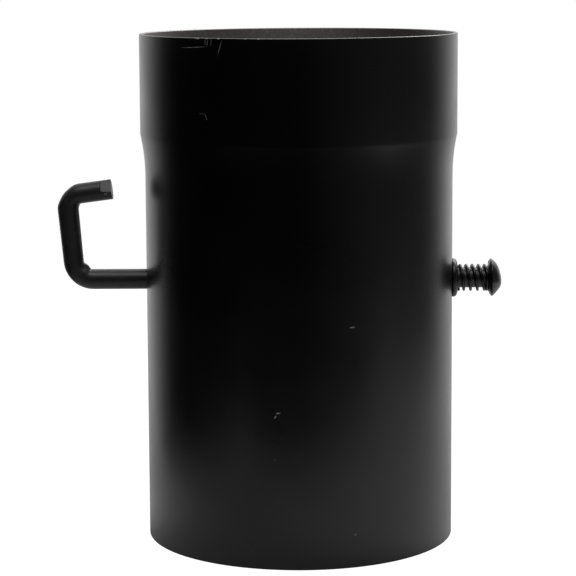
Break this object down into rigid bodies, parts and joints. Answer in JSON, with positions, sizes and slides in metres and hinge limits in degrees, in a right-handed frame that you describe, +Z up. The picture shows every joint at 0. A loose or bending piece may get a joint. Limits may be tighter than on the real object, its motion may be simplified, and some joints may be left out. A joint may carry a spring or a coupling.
{
  "type": "flue pipe damper section",
  "caption": "Black steel stove pipe section, belled to a socket at its top, with a butterfly damper plate on a bent bar handle held by a spring and a push-on cap.",
  "frame": {"origin": "on the pipe's axis, in the plane of its lower end", "axes": "+Z up along the pipe's axis towards the socket, +X along the spindle from the handle to the spring, +Y to the back"},
  "size_m": [0.2208, 0.1564, 0.25],
  "materials": {
    "heat_paint": "satin black heat-resistant paint",
    "bar_paint": "black paint on a drawn steel bar",
    "plate_steel": "bare cold-rolled steel, dull",
    "zinc_plate": "bright zinc plating",
    "spring_steel": "oil-blackened spring steel",
    "cap_paint": "blackened pressed steel"
  },
  "bodies": {
    "pipe": {"pipe_body": "heat_paint", "wall_washer": "heat_paint", "inner_washer": "zinc_plate"},
    "spring_carriage": {"friction_spring": "spring_steel"},
    "damper": {"spindle_handle": "bar_paint", "damper_plate": "plate_steel", "saddle_left": "plate_steel", "saddle_right": "plate_steel", "bolt_1": "zinc_plate", "bolt_2": "zinc_plate", "bolt_3": "zinc_plate", "bolt_4": "zinc_plate", "lock_washer_1": "zinc_plate", "lock_washer_2": "zinc_plate", "lock_washer_3": "zinc_plate", "lock_washer_4": "zinc_plate", "nut_1": "zinc_plate", "nut_2": "zinc_plate", "nut_3": "zinc_plate", "nut_4": "zinc_plate", "cap_ring": "spring_steel", "cap_dome": "cap_paint"}
  },
  "joints": [
    {"name": "spindle_float", "type": "slide", "parent": "pipe", "child": "spring_carriage", "axis": [1, 0, 0], "range_m": [-0.002, 0], "stiffness_N_per_m": 6000, "springref_m": 0.004, "deforming": ["friction_spring"]},
    {"name": "spindle_turn", "type": "hinge", "parent": "spring_carriage", "child": "damper", "pos_m": [0, 0, 0.128], "axis": [1, 0, 0], "continuous": true}
  ]
}
